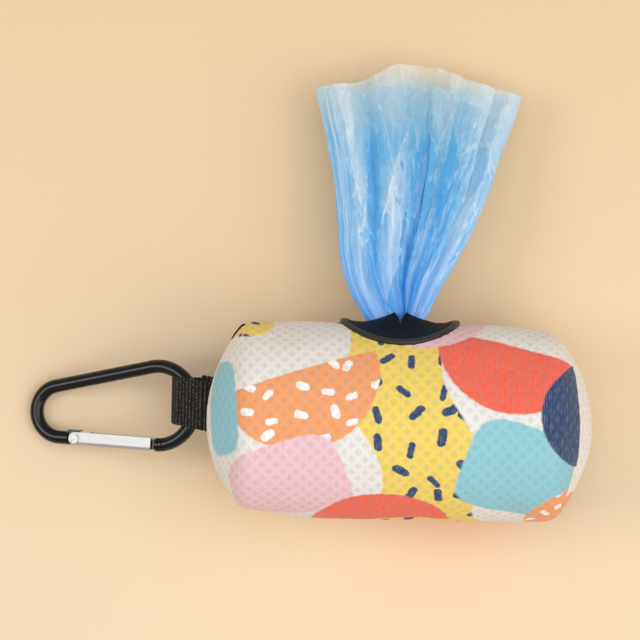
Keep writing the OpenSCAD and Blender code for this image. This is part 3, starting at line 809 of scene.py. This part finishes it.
def creases(share, out, level):
    """Long folds that run from the mouth to the open end, and small crumples on their flats, in mm
    of height."""
    fade = min(1.0, max(0.12, (out + 2) / 16))
    wander = 0.022 * noise.noise(Vector((share * 3, out * 0.05, 2.2 + 0.35 * level)))
    folds = np.interp(share + wander, *FOLD_LINES)
    soft = 1.3 * noise.noise(Vector((share * 6.0, out * 0.011, 3.1)))
    fine = 0.4 * (0.3 - abs(noise.noise(Vector((share * 40.0, out * 0.05, 1.9)))))
    spot = Vector((share * 19, out * 0.2, 5.5 + 0.6 * level))
    crumple = 0.42 * (0.35 - abs(noise.noise(spot))) + 0.16 * noise.noise(spot * 2.7)
    return fade * (folds + soft + fine + crumple * share_of(out / 22))


def film_place(u, v):
    """Where a point of the folded strip lies at the mouth, and on the flat film."""
    share, level, short = strip_point(u * sum(FILM_RUNS))
    end = np.interp(share, *TOP_EDGE) - short + 0.5 * noise.noise(Vector((share * 9, level, 0)))
    out = FILM_START + v * (end - FILM_START)
    left, right = np.interp(out, *LEFT_EDGE), np.interp(out, *RIGHT_EDGE)
    drawn = math.exp(-max(0.0, out) / 13)
    across = left + (right - left) * (share + (gathered(share) - share) * drawn)
    across += 0.3 * noise.noise(Vector((out * 0.13, level, 4))) * share_of(out / 10)
    height = (level - 2.5) * (0.12 + 0.04 * share_of(out / 40)) + creases(share, out, level)
    height += 0.06 * noise.noise(Vector((share * 50, out * 0.08, level * 3.7)))
    return (EXIT + PULL * out + FILM_UP * height + Vector((across, 0, 0)),
            (share * FILM_WIDE, out, level))


film_bm = laid_grid(round(sum(FILM_RUNS) / FILM_GRID), round((FILM_LONG - FILM_START) / FILM_GRID),
                    film_place, "film", closed=(0, 0.1))
print("film", len(film_bm.verts), "points")

# %% [markdown]
# Thin polyethylene film lets light through and mirrors the lamp on every crease. It is drawn with
# little cover at the open end and more near the mouth, where the real film is gathered in folds
# too small to draw, and with milky streaks along the folds, which are partly the film's own haze
# and partly painted highlights.

# %% Film finish
film, add = new_finish("blown_polyethylene_film", "#8CCDF7", roughness=0.22, specular_ior_level=0.75)
on_film = add("Attribute", attribute_name="film", out="Vector")
over, out_of_mouth = add("SeparateXYZ", on_film).node.outputs[:2]
far_out = add("MapRange", out_of_mouth, 0.0, FILM_LONG)
tint = add("ValToRGB", far_out, stops={0: "#2A93F3", 0.1: "#44A9FA", 0.3: "#5ABBFC", 0.68: "#66C5F9",
                                       0.9: "#BDE4F4", 1: "#F6F7EF"})
# The flats between the folds are milky or clear by turns, over the film's width
drift = add("TexNoise", on_film, Scale=0.09, Detail=2.0)
over = add("Math MULTIPLY_ADD", drift, 5.0, over)
over = add("MapRange", over, 2.5, 2.5 + FILM_WIDE)
flats = add("ValToRGB", over, stops={
    0: 0.3, 0.07: 0.5, 0.15: 0.72, 0.235: 0.25, 0.28: 0.4, 0.36: 0.66, 0.44: 0.5, 0.52: 0.16,
    0.58: 0.34, 0.63: 0.56, 0.7: 0.22, 0.76: 0.5, 0.88: 0.68, 1: 0.62})
# Broad patches with a crisp edge on one side, and crinkles of about a millimetre on them
patches = add("Mapping", on_film, Scale=(0.26, 0.05, 3.0))
patches = add("TexNoise", patches, Scale=1.0, Detail=7.0, Roughness=0.62, Distortion=0.7)
crinkles = add("Mapping", on_film, Scale=(1.1, 0.34, 5.0))
crinkles = add("TexNoise", crinkles, Scale=1.0, Detail=5.0, Roughness=0.6, Distortion=0.5)
# Long facets between straight creases, each milky or clear, partly as painted reflection of the
# lamp, with a painted highlight line along the crease
bent = add("VectorMath SUBTRACT", crinkles.node.outputs["Color"], (0.5, 0.5, 0.5))
bent = add("VectorMath MULTIPLY_ADD", bent, (2.4, 5.0, 0.0), on_film)
bent = add("Mapping", bent, Scale=(0.17, 0.042, 2.0))
facets = add("SeparateColor", add("TexVoronoi", bent, Scale=1.0, out="Color"))
crease_gap = add("TexVoronoi", bent, Scale=1.0, feature="DISTANCE_TO_EDGE")
# The whitening is partly the film's own haze and partly painted highlight. It starts as a painted
# highlight line along each crease.
milk_and_painted_highlight = add("MapRange", crease_gap, 0.0, 0.035, 0.3, 0.0)
for part, amount in ((patches, 0.95), (flats, 1.0), (crinkles, 0.4), (facets, 0.4)):
    milk_and_painted_highlight = add("Math MULTIPLY_ADD", part, amount, milk_and_painted_highlight)
milk_and_painted_highlight = add("MapRange", milk_and_painted_highlight, 1.14, 1.85, 0.0, 0.7)
# Gathered film at the mouth is many layers deep and shows less milk and less painted highlight
milk_and_painted_highlight = add("Math MULTIPLY", milk_and_painted_highlight, add("MapRange", out_of_mouth, 0.0, 26.0, 0.4, 1.0))
cover = add("ValToRGB", far_out, stops={0: 0.95, 0.25: 0.84, 0.7: 0.7, 0.9: 0.55, 1: 0.42})
connect(film, base_color=add("Mix", milk_and_painted_highlight, tint, linear("#F4FBFF"), data_type="RGBA"),
        alpha=add("Math MULTIPLY_ADD", milk_and_painted_highlight, 0.3, cover, use_clamp=True),
        normal=add("Bump", Height=crinkles, Strength=0.6, Distance=0.4 * MM))
film_piece = finish_piece("pulled_film", film_bm, "bag", film,
                          ["pulled_bag", "bag_strand"], outward=False)
film_piece.data.set_sharp_from_angle(angle=math.radians(65))     # folds are too tight to shade round

# %% [markdown]
# ## The webbing
# A strip of ribbed polyester webbing is sewn into the end seam by both its ends, and the carabiner
# hangs in its fold. A flat grid is wrapped round the strip's section and bent along its path. The
# strip bends between the case and the loop, and it is drawn in place without being attached to
# either body.

# %% Webbing path
WEB_W, WEB_T = 11.8, 1.0
RIB_PITCH, RIB_DEPTH = 1.04, 0.24
HINGE = place(joint_of["strap_flex"]["pos_m"])
FOLD = place(joint_of["carabiner_swing"]["pos_m"])
FOLD_R = FOLD.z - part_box("strap_loop")[0].z / MM - WEB_T / 2
ROOT_GAP = 0.6                       # from the middle to each layer where both are sewn in
TAIL = 7.5                           # how far the ends go into the case
reach = FOLD - HINGE
down = reach.normalized()            # from the case to the fold, in the strip's own plane
aside = Vector((down.z, 0, -down.x))
lean = math.asin((FOLD_R - ROOT_GAP) / reach.length)
fold_arc = [math.pi / 2 - lean + (math.pi + 2 * lean) * i / 24 for i in range(25)]
web_path = [HINGE + Vector((x, 0, ROOT_GAP)) for x in (TAIL, 1.3)]
web_path += [HINGE + down * 0.5 + aside * 0.75]
web_path += [FOLD + (aside * math.sin(a) - down * math.cos(a)) * FOLD_R for a in fold_arc]
web_path += [HINGE + down * 0.9 - aside * 0.7]
web_path += [HINGE + Vector((x, 0, -ROOT_GAP)) for x in (1.3, TAIL)]
print("webbing turns at radius", round(FOLD_R, 2), "mm")


def even_path(points, spacing):
    """Even points along a smooth curve through the given ones, their directions and distances."""
    fine = []
    longer = [points[0] * 2 - points[1]] + points + [points[-1] * 2 - points[-2]]
    for a, b, c, d in zip(longer, longer[1:], longer[2:], longer[3:]):
        for u in (i / 24 for i in range(24)):
            fine.append((2 * b + (c - a) * u + (2 * a - 5 * b + 4 * c - d) * u * u
                         + (3 * b - a - 3 * c + d) * u ** 3) / 2)
    fine.append(points[-1])
    run = np.concatenate([[0], np.cumsum([(q - p).length for p, q in zip(fine, fine[1:])])])
    at = np.linspace(0, run[-1], round(run[-1] / spacing) + 1)
    spots = [Vector([np.interp(s, run, [p[axis] for p in fine]) for axis in range(3)]) for s in at]
    ways = [(spots[min(i + 1, len(spots) - 1)] - spots[max(i - 1, 0)]).normalized()
            for i in range(len(spots))]
    return spots, ways, at


# %% Webbing strip
web_spots, web_ways, web_at = even_path(web_path, 0.14)
AROUND = 120                         # points round the strip's section
BACK_ASIDE = 1.4                     # the back layer looks out past the front one
WEB_SLANT, WEB_DROP = 0.15, 0.2      # and the strip leans to that side on its way to the fold
def web_place(u, v):
    """Where a point of the section's outline lies in the loop, and on the flat webbing."""
    i, turn = round(u * (len(web_spots) - 1)), 2 * math.pi * v
    spot, way, at = web_spots[i], web_ways[i], float(web_at[i])
    from_fold = (spot - FOLD).length / reach.length
    half = WEB_W / 2 * (1 + 0.05 * share_of(from_fold - 0.3))
    half += 0.07 * math.cos(2 * math.pi * at / RIB_PITCH)
    across = -math.cos(turn) * half
    past = max(0.0, abs(across) - half + 0.5) / 0.5
    yarn = 0.035 * math.sin(2 * math.pi * (across / 0.7 + 0.5 * (round(at / RIB_PITCH) % 2)))
    rib = RIB_DEPTH * (abs(math.sin(math.pi * at / RIB_PITCH)) - 1) + yarn
    rise = math.copysign(math.sqrt(max(0.0, 1 - past * past)) * (WEB_T / 2 + rib), math.sin(turn))
    back = share_of((at - web_at[-1] / 2) / (web_at[-1] / 4))
    aside_by = across + BACK_ASIDE * back + WEB_SLANT * (HINGE.x - spot.x) - WEB_DROP
    return spot + Vector((-way.z, 0, way.x)) * rise + Vector((0, aside_by, 0)), (across, at, 0)


web = laid_grid(len(web_spots) - 1, AROUND, web_place, "cloth", closed=(1, 0.01))
bmesh.ops.holes_fill(web, edges=[edge for edge in web.edges if edge.is_boundary], sides=0)

webbing, add = new_finish("woven_polyester_webbing", "#1A1817", roughness=0.7,
                          specular_ior_level=0.25, sheen_weight=0.06, sheen_roughness=0.4)
on_web = add("Attribute", attribute_name="cloth", out="Vector")
crest = add("Math MULTIPLY", add("SeparateXYZ", on_web, out="Y"), math.pi / RIB_PITCH)
crest = add("Math ABSOLUTE", add("Math SINE", crest))
# Warp yarns of 0.35 mm cross the ribs. The crests are painted lighter, with a painted highlight
# fleck on each yarn, and the grooves are painted near black, as painted shade
yarns = add("Mapping", on_web, Scale=(2.9, 1 / RIB_PITCH, 1))
yarns = add("TexVoronoi", yarns, Scale=1.0, Randomness=0.5, voronoi_dimensions="2D")
lit = add("Math MULTIPLY", crest, add("MapRange", yarns, 0.1, 0.55, 1.0, 0.25))
# Painted shade in the grooves and painted light on the crests
connect(webbing, base_color=add("ValToRGB", lit, stops={0: "#050504", 0.4: "#151312", 1: "#6B655F"}),
        normal=add("Bump", Height=lit, Strength=0.5, Distance=0.1 * MM))
web_piece = finish_piece("webbing_loop", web, None, webbing, ["strap_loop", "strap_tail"],
                         lift=False)
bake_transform(web_piece)

# %% [markdown]
# ## Carabiner
# The carabiner is a bent aluminium rod with a folded sheet gate. Its shape is already right in the
# frame, so it keeps its solids and gets finishes: a dyed oxide skin, which is a clear hard layer
# over black and so mirrors one sharp line of the lamp, and bare satin metal for the gate.

# %% Metal finishes
rod_black = grained("black_anodised_aluminium", ["#050505", "#0E0E0F"], [900] * 3, 4,
                    rough=(0.16, 0.26), bump=(0.1, 0.02), ior=1.46)
gate_silver = grained("satin_aluminium_sheet", ["#C7C6C4", "#DCDBD9"], (500, 5000, 5000), 4,
                      rough=(0.4, 0.54), bump=(0.2, 0.02), metallic=1.0)
spring_wire = grained("drawn_spring_steel", ["#8B8B8D", "#9A9A9C"], [3000] * 3, 4,
                      rough=(0.25, 0.4), bump=(0.2, 0.02), metallic=1.0)
slider_paint = grained("painted_zinc_casting", ["#161617", "#2A2A2D"], [1500] * 3, 3,
                       rough=(0.28, 0.45), bump=(0.25, 0.02), coat_weight=0.4, coat_roughness=0.2)


def break_edges(piece, width):
    """Rounds the sharp edges of a piece by a width in mm, as real edges are."""
    weld = piece.modifiers.new("weld", "WELD")
    weld.merge_threshold = 0.001 * MM
    bevel = piece.modifiers.new("edge", "BEVEL")
    bevel.width, bevel.segments, bevel.limit_method = width * MM, 3, "ANGLE"
    bevel.angle_limit, bevel.harden_normals = math.radians(35), True
    return piece


def refinish(node, material, edge=0.0):
    """Gives a solid of the frame its finish, and rounds its edges by a width in mm."""
    piece = bpy.data.objects[node]
    piece.data.materials.clear()
    piece.data.materials.append(material)
    return break_edges(piece, edge) if edge else piece


refinish("carabiner_frame", rod_black)
refinish("gate_plunger", gate_silver)
refinish("gate_rivet", gate_silver, edge=0.15)
refinish("gate_spring", spring_wire)
print("carabiner finished")

# %% [markdown]
# The gate is a strip of sheet folded to a U, with round folds on its outer side and its open side
# inside the loop. It is laid on a grid, whose hinge end is a half disc round the pin.

# %% Gate
GATE_PIN = place(joint_of["gate_hinge"]["pos_m"])
GATE_UP = Vector(joint_of["gate_hinge"]["axis"])
GATE_WAY = Vector(joint_of["plunger_slide"]["axis"])
GATE_IN = GATE_UP.cross(GATE_WAY)
GATE_T, GATE_BEND, GATE_NOTCH = 0.45, 1.0, 2.2    # sheet, radius of the folds, and the nose's slot


def gate_reach(way):
    """How far the frame's gate reaches from its pin in a direction, in mm."""
    solid = bpy.data.objects["carabiner_gate"]
    return max((solid.matrix_world @ vert.co / MM - GATE_PIN).dot(way)
               for vert in solid.data.vertices)


GATE_L, GATE_HALF = gate_reach(GATE_WAY), gate_reach(GATE_UP)
flat = GATE_HALF - GATE_BEND
section = [(GATE_HALF - (GATE_HALF + flat) * i / 10, GATE_HALF) for i in range(11)]
section += [(-flat - GATE_BEND * math.sin(a), flat + GATE_BEND * math.cos(a))
            for a in np.linspace(0, math.pi / 2, 8)[1:]]
section += [(inside, -up) for inside, up in section[::-1]]
def gate_place(u, v):
    """Where a point of the sheet lies, along the gate and round its folded section."""
    inside, up = section[round(v * (len(section) - 1))]
    start = -math.sqrt(max(0.0, GATE_HALF ** 2 - inside ** 2))
    end = GATE_L - GATE_NOTCH * share_of((GATE_HALF - abs(up)) / GATE_BEND)
    along = start + u * (end - start)
    return GATE_PIN + GATE_WAY * along + GATE_IN * inside + GATE_UP * up, None


gate = face_towards(laid_grid(70, len(section) - 1, gate_place), -GATE_IN)
gate_piece = finish_piece("folded_gate", gate, "gate", gate_silver, ["carabiner_gate"],
                          lift=False, outward=False)
break_edges(thicken(gate_piece, GATE_T), 0.1)
print("gate", round(GATE_L, 1), "mm from its pin, half width", round(GATE_HALF, 2))

# %% [markdown]
# ## Zip
# Moulded teeth are cast on the edges of two woven tapes. The teeth, stops and slider keep their
# solids. Each tape is a flat strip bent to the round wall, with its weave in the material.

# %% Zip finishes
teeth_plastic = grained("moulded_acetal_teeth", ["#121213", "#242427"], [1200] * 3, 3,
                        rough=(0.35, 0.5), ior=1.48)
for node in ("zip_teeth_upper", "zip_teeth_lower", "zip_stops"):
    refinish(node, teeth_plastic, edge=0.12)
for node in ("zip_slider", "zip_puller"):
    refinish(node, slider_paint, edge=0.2)
refinish("mouth_backing_ring", rubber)


def woven(name, dark, light, threads_per_mm):
    """Plain weave: two sets of threads, lit where one passes over the other."""
    cloth, add = new_finish(name, dark, roughness=0.8, specular_ior_level=0.25, sheen_weight=0.15)
    where = add("Attribute", attribute_name="cloth", out="Vector")
    where = add("Mapping", where, Scale=[math.pi * threads_per_mm] * 3)
    parts = add("SeparateXYZ", where).node.outputs[:2]
    weave = add("Math MULTIPLY", *[add("Math ABSOLUTE", add("Math SINE", part)) for part in parts])
    tone = add("Mix", weave, linear(dark), linear(light), data_type="RGBA")
    return connect(cloth, base_color=tone,
                   normal=add("Bump", Height=weave, Strength=0.5, Distance=0.06 * MM))


tape_cloth = woven("woven_polyester_zip_tape", "#111113", "#26262A", 2.2)
binding_cloth = woven("woven_binding_tape", "#18181A", "#303034", 2.0)
lining_cloth = woven("plain_woven_lining", "#BDB9AF", "#DCD9D1", 1.6)

# %% Zip tapes
TAPE_HALF, TAPE_IN, TAPE_OUT = 41.2, 1.5, 7.5    # half length, and distances from the zip's middle
TAPE_DEEP, TAPE_T, TAPE_GRID = 2.35, 0.55, 0.8   # under the case's surface, thickness, grid


def strip_on_wall(half, low, high, inset, spacing, turn):
    """A sheet along the case between two distances from the zip's middle. It follows the wall, and
    its ends bend with the case's corners."""
    line = np.array(case_outline(inset, 0.5)[::-1])
    run = np.concatenate([[0], np.cumsum(np.hypot(*np.diff(line, axis=0).T))])
    run -= run[-1] / 2

    def place_of(u, v):
        along, up = (2 * u - 1) * half, turn * (low + v * (high - low))
        angle = up / (CASE_R - inset)
        x, radius = np.interp(along, run, line[:, 0]), np.interp(along, run, line[:, 1])
        out = ZIP_OUT * math.cos(angle) + ZIP_UP * math.sin(angle)
        return Vector((x, 0, 0)) + out * radius, (along, up, 0)

    rows = max(2, round((high - low) / spacing))
    return face_towards(laid_grid(round(2 * half / spacing), rows, place_of, "cloth"), ZIP_OUT)


for name, turn, node in (("upper_tape", 1, "zip_tape_upper"), ("lower_tape", -1, "zip_tape_lower")):
    tape = strip_on_wall(TAPE_HALF, TAPE_IN, TAPE_OUT, TAPE_DEEP, TAPE_GRID, turn)
    thicken(finish_piece(name, tape, "case", tape_cloth, [node], outward=False),
            TAPE_T)

# %% [markdown]
# The end of the zip's tapes is caught in the end seam, and a sliver of it looks out at the corner.

# %% Tape end
END_FROM, END_TO = 37.9, 41.6            # along the case, both on the strap's side
wall_line = [(x, r) for x, r in case_outline(-0.25, 0.25) if -END_TO < x < -END_FROM]
def end_place(u, v):
    """Where a point of the tape's end lies on the wall. Its two short edges tuck under the cloth."""
    step = round(u * (len(wall_line) - 1))
    x, r = wall_line[step]
    angle = math.radians(1.5 - 7 * (1 - v))
    tuck = 0.9 * (2 * abs(step / (len(wall_line) - 1) - 0.5)) ** 6
    return (x, (r - tuck) * math.cos(angle), (r - tuck) * math.sin(angle)), (x, r * angle, 0)


tape_end = laid_grid(len(wall_line) - 1, 10, end_place, "cloth")
face_towards(tape_end, Vector((-0.7, 0.7, 0)))
thicken(finish_piece("tape_end", tape_end, "case", tape_cloth, outward=False), 0.7)

# %% [markdown]
# ## Inside the case
# The lining is a second, smaller bag in the first, with the same seams. A tape folded round each
# seam's allowance stops it fraying.

# %% Lining
LINING_IN, LINING_T, LINING_GRID = 2.35, 0.4, 1.3


def lining(name, front, node):
    bm = half_case(LINING_IN, LINING_GRID, TAPE_HALF, TAPE_OUT, front, SLEEVE_OUT + 0.2)
    for vert in bm.verts:
        vert.co *= 1 - 0.004 * (1 + noise.noise(vert.co / 6))
    area = sum(face.calc_area() for face in bm.faces) * MM * MM
    piece = finish_piece(name, bm, "case", lining_cloth, [node], outward=False)
    thicken(piece, LINING_T)


lining("front_inner", True, "front_lining")
lining("rear_inner", False, "rear_lining")

# %% Seam bindings
BIND_DEEP, BIND_HALF, BIND_T = 4.4, 1.15, 0.45


def bound_seam(name, path, node, bulge=0.0):
    """A tape folded over the seam's edge. path: points (x, y) along the seam, outer side first."""
    spots, ways, at = even_path([Vector((x, y, 0)) for x, y in path], 0.9)
    top = [(0.2, 1), (1.6, 1), (3.0, 1), (BIND_DEEP - 0.5, 0.95), (BIND_DEEP - 0.12, 0.6)]
    section = top + [(BIND_DEEP, 0)] + [(deep, -side) for deep, side in top[::-1]]

    def place_of(u, v):
        i = round(u * (len(spots) - 1))
        deep, side = section[round(v * (len(section) - 1))]
        inwards = Vector((-ways[i].y, ways[i].x, 0))
        if inwards.dot(spots[i]) > 0:
            inwards.negate()
        half = BIND_HALF + bulge * math.exp(-((spots[i].y - HINGE.y) / 7) ** 4)
        return spots[i] + inwards * deep + Vector((0, 0, side * half)), (at[i], deep * side, 0)

    bm = laid_grid(len(spots) - 1, len(section) - 1, place_of, "cloth")
    pull_corners(bm)
    piece = finish_piece(name, bm, "case", binding_cloth, [node])
    thicken(piece, BIND_T, offset=0)


end_line = [(x, r) for x, r in case_outline(2.4, 2.0) if x > 37.8]
right_path = end_line[::-1] + [(x, -r) for x, r in end_line[1:]]
bound_seam("right_binding", right_path, "right_seam_binding")
bound_seam("left_binding", [(-x, y) for x, y in right_path], "left_seam_binding", bulge=0.9)
lower_path = [(x, -CASE_R + 2.4) for x in np.linspace(-37, 37, 12)]
bound_seam("lower_binding", lower_path, "lower_seam_binding")

# %% [markdown]
# ## The roll
# The bags are wound on a card tube. The wound film is one ring here, because its layers only show
# at the two ends, where their edges make fine uneven rings.

# %% Roll and core
ROLL_AXIS = place(joint_of["roll_spin"]["pos_m"])
ROLL_HALF, _, ROLL_R = half_size("bag_roll")
CORE_R = half_size("roll_core").z
ends = [(ROLL_HALF - 0.25 * (i % 2) - 0.15 * math.sin(i * 2.1),
         CORE_R + 0.05 + i * (ROLL_R - CORE_R - 0.4) / 24) for i in range(25)]
side = [(x, ROLL_R - 0.06 * (i % 2))
        for i, x in enumerate(np.linspace(ROLL_HALF - 0.3, -ROLL_HALF + 0.3, 40))]
roll = revolve(ends + side + [(-x, r) for x, r in ends[::-1]], 96)
bmesh.ops.bridge_loops(roll, edges=[edge for edge in roll.edges if edge.is_boundary])
for vert in roll.verts:
    radius = math.hypot(vert.co.y, vert.co.z)
    if radius > ROLL_R - 0.2:
        bump = noise.noise(Vector((vert.co.x / 9, vert.co.y / 6, vert.co.z / 6)))
        vert.co.yz *= 1 - 0.006 * (1 + bump)
bmesh.ops.translate(roll, vec=ROLL_AXIS, verts=roll.verts)
wound = grained("wound_polyethylene_film", ["#3E93DC", "#8CC6EE"], (120, 900, 900), 4,
                bump=(0.5, 0.1), roughness=0.35, subsurface_weight=0.15)
finish_piece("film_roll", roll, "roll", wound, ["bag_roll"], lift=False)

card = grained("spiral_wound_card", ["#A28460", "#C9AE86"], (400, 1500, 1500), 6, bump=(0.3, 0.05),
               roughness=0.85, specular_ior_level=0.3)
refinish("roll_core", card)

# %% [markdown]
# ## Stitches
# The panels' edges are turned under and stitched down beside the zip. A stitch is a low bead of
# thread that sinks in at both ends, so a stretched ball with few faces stands for it.

# %% Stitches beside the zip
STITCH, STITCH_STEP, THREAD = 2.0, 2.7, 0.34


def stitch_line(bm, points, outs):
    """One bead from each point to the next, set in the cloth that faces outs."""
    for (a, b), out in zip(zip(points, points[1:]), outs):
        along = (b - a).normalized()
        side = out.cross(along).normalized()
        axes = Matrix((along * STITCH / 2, side * THREAD / 2, out * THREAD / 2))
        axes = axes.transposed().to_4x4()
        middle = Matrix.Translation((a + b) / 2)
        bmesh.ops.create_icosphere(bm, subdivisions=1, radius=1.0, matrix=middle @ axes)


thread, add = new_finish("spun_polyester_thread", "#E9E4DA", roughness=0.7, sheen_weight=0.2)
ply = add("TexWave", add("TexCoord", out="Object"), Scale=900.0)
connect(thread, base_color=add("ValToRGB", ply, stops={0: "#D5CFC3", 1: "#F2EEE6"}))
beads = bmesh.new()
EDGE_IN = 1.9                            # from the panel's edge to the stitches
along_zip = np.linspace(-ZIP_L / 2 + 1, ZIP_L / 2 - 1, round((ZIP_L - 2) / STITCH_STEP) + 1)
for side in (-1, 1):
    angle = side * (ZIP_W / 2 + EDGE_IN) / CASE_R
    out = ZIP_OUT * math.cos(angle) + ZIP_UP * math.sin(angle)
    row = []
    for x in along_zip:
        spot = out * CASE_R + Vector((x, 0, 0))
        row.append(spot + out * cloth_push(spot, EDGE_IN))
    stitch_line(beads, row, [out] * len(row))
finish_piece("zip_stitches", beads, "case", thread)
